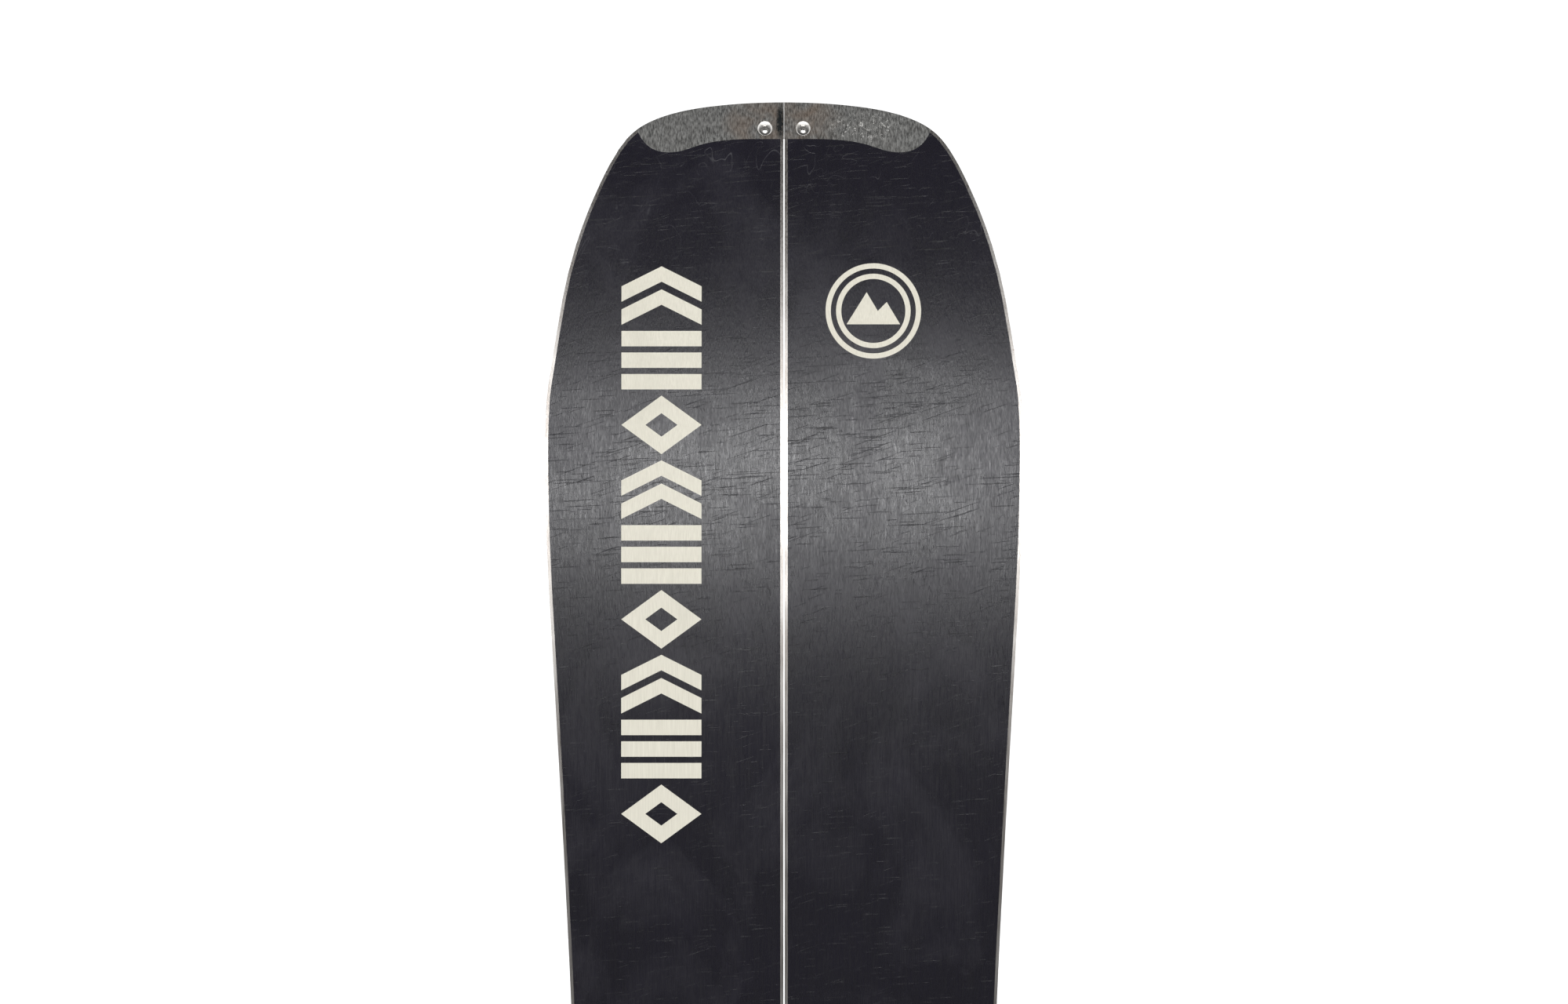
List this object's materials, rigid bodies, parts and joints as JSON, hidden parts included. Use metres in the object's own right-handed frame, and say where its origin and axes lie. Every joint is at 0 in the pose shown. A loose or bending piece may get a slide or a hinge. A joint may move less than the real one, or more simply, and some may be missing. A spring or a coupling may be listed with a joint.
{
  "type": "splitboard",
  "caption": "Snowboard that splits lengthwise into touring halves, with steel edges, metal end plates, seam hooks and end clips.",
  "frame": {"origin": "on the seam at mid-length, in the plane of the flat base", "axes": "+Z along the board to the nose, +X across it to the right half as seen from the base, +Y from the base to the topsheet"},
  "size_m": [0.31, 0.0672, 1.62],
  "materials": {
    "base_plastic": "stone-ground sintered base",
    "graphic_plastic": "die-cut cream inlay",
    "edge_steel": "worn steel edge",
    "plate_steel": "brushed plate",
    "screw_steel": "stainless fastener",
    "insert_steel": "stainless insert",
    "glass_laminate": "glass fibre in resin",
    "core_wood": "laminated wood core",
    "sidewall_plastic": "moulded sidewall",
    "topsheet_plastic": "satin topsheet",
    "hook_aluminium": "dark anodised plate",
    "spacer_plastic": "moulded spacer"
  },
  "bodies": {
    "left_half": {"left_plate_screws": "screw_steel", "left_plate_nuts": "screw_steel", "left_outer_edge": "edge_steel", "left_inner_edge": "edge_steel", "left_nose_plate": "plate_steel", "left_tail_plate": "plate_steel", "left_base_sheet": "base_plastic", "left_base_graphic": "graphic_plastic", "left_lower_laminate": "glass_laminate", "left_core": "core_wood", "left_outer_sidewall": "sidewall_plastic", "left_inner_sidewall": "sidewall_plastic", "left_nose_spacer": "sidewall_plastic", "left_tail_spacer": "sidewall_plastic", "left_upper_laminate": "glass_laminate", "left_topsheet": "topsheet_plastic", "left_front_binding_inserts": "insert_steel", "left_rear_binding_inserts": "insert_steel", "left_touring_inserts": "insert_steel", "left_hardware_inserts": "insert_steel", "left_hook_washers": "screw_steel", "left_hook_bolts": "screw_steel", "nose_clip_spacer": "spacer_plastic", "nose_clip_bolt": "screw_steel", "tail_clip_spacer": "spacer_plastic", "tail_clip_bolt": "screw_steel"},
    "right_half": {"right_plate_screws": "screw_steel", "right_plate_nuts": "screw_steel", "right_outer_edge": "edge_steel", "right_inner_edge": "edge_steel", "right_nose_plate": "plate_steel", "right_tail_plate": "plate_steel", "right_base_sheet": "base_plastic", "right_base_graphic": "graphic_plastic", "right_lower_laminate": "glass_laminate", "right_core": "core_wood", "right_outer_sidewall": "sidewall_plastic", "right_inner_sidewall": "sidewall_plastic", "right_nose_spacer": "sidewall_plastic", "right_tail_spacer": "sidewall_plastic", "right_upper_laminate": "glass_laminate", "right_topsheet": "topsheet_plastic", "right_front_binding_inserts": "insert_steel", "right_rear_binding_inserts": "insert_steel", "right_touring_inserts": "insert_steel", "right_hardware_inserts": "insert_steel", "right_hook_washers": "screw_steel", "right_hook_bolts": "screw_steel", "nose_catch_stud": "screw_steel", "tail_catch_stud": "screw_steel"},
    "nose_clip": {"nose_clip_lever": "hook_aluminium"},
    "tail_clip": {"tail_clip_lever": "hook_aluminium"},
    "front_left_hook_plate": {"front_left_hook": "hook_aluminium"},
    "front_right_hook_plate": {"front_right_hook": "hook_aluminium"},
    "rear_left_hook_plate": {"rear_left_hook": "hook_aluminium"},
    "rear_right_hook_plate": {"rear_right_hook": "hook_aluminium"}
  },
  "joints": [
    {"name": "halves_part", "type": "slide", "parent": "left_half", "child": "right_half", "axis": [1, 0, 0], "range_m": [0, 0.15]},
    {"name": "nose_clip_pivot", "type": "hinge", "parent": "left_half", "child": "nose_clip", "pos_m": [-0.022, 0.02434, 0.61903], "axis": [0, -0.9906, 0.1369], "range_deg": [0, 90]},
    {"name": "tail_clip_pivot", "type": "hinge", "parent": "left_half", "child": "tail_clip", "pos_m": [-0.022, 0.02434, -0.61903], "axis": [0, -0.9906, -0.1369], "range_deg": [0, 90]},
    {"name": "front_left_hook_pivot", "type": "hinge", "parent": "left_half", "child": "front_left_hook_plate", "pos_m": [-0.036, 0.01145, 0.46757], "axis": [0, -0.9992, 0.0397], "range_deg": [0, 90]},
    {"name": "front_right_hook_pivot", "type": "hinge", "parent": "right_half", "child": "front_right_hook_plate", "pos_m": [0.036, 0.01145, 0.46757], "axis": [0, -0.9992, 0.0397], "range_deg": [0, 90]},
    {"name": "rear_left_hook_pivot", "type": "hinge", "parent": "left_half", "child": "rear_left_hook_plate", "pos_m": [-0.036, 0.01145, -0.46757], "axis": [0, -0.9992, -0.0397], "range_deg": [0, 90]},
    {"name": "rear_right_hook_pivot", "type": "hinge", "parent": "right_half", "child": "rear_right_hook_plate", "pos_m": [0.036, 0.01145, -0.46757], "axis": [0, -0.9992, -0.0397], "range_deg": [0, 90]}
  ]
}
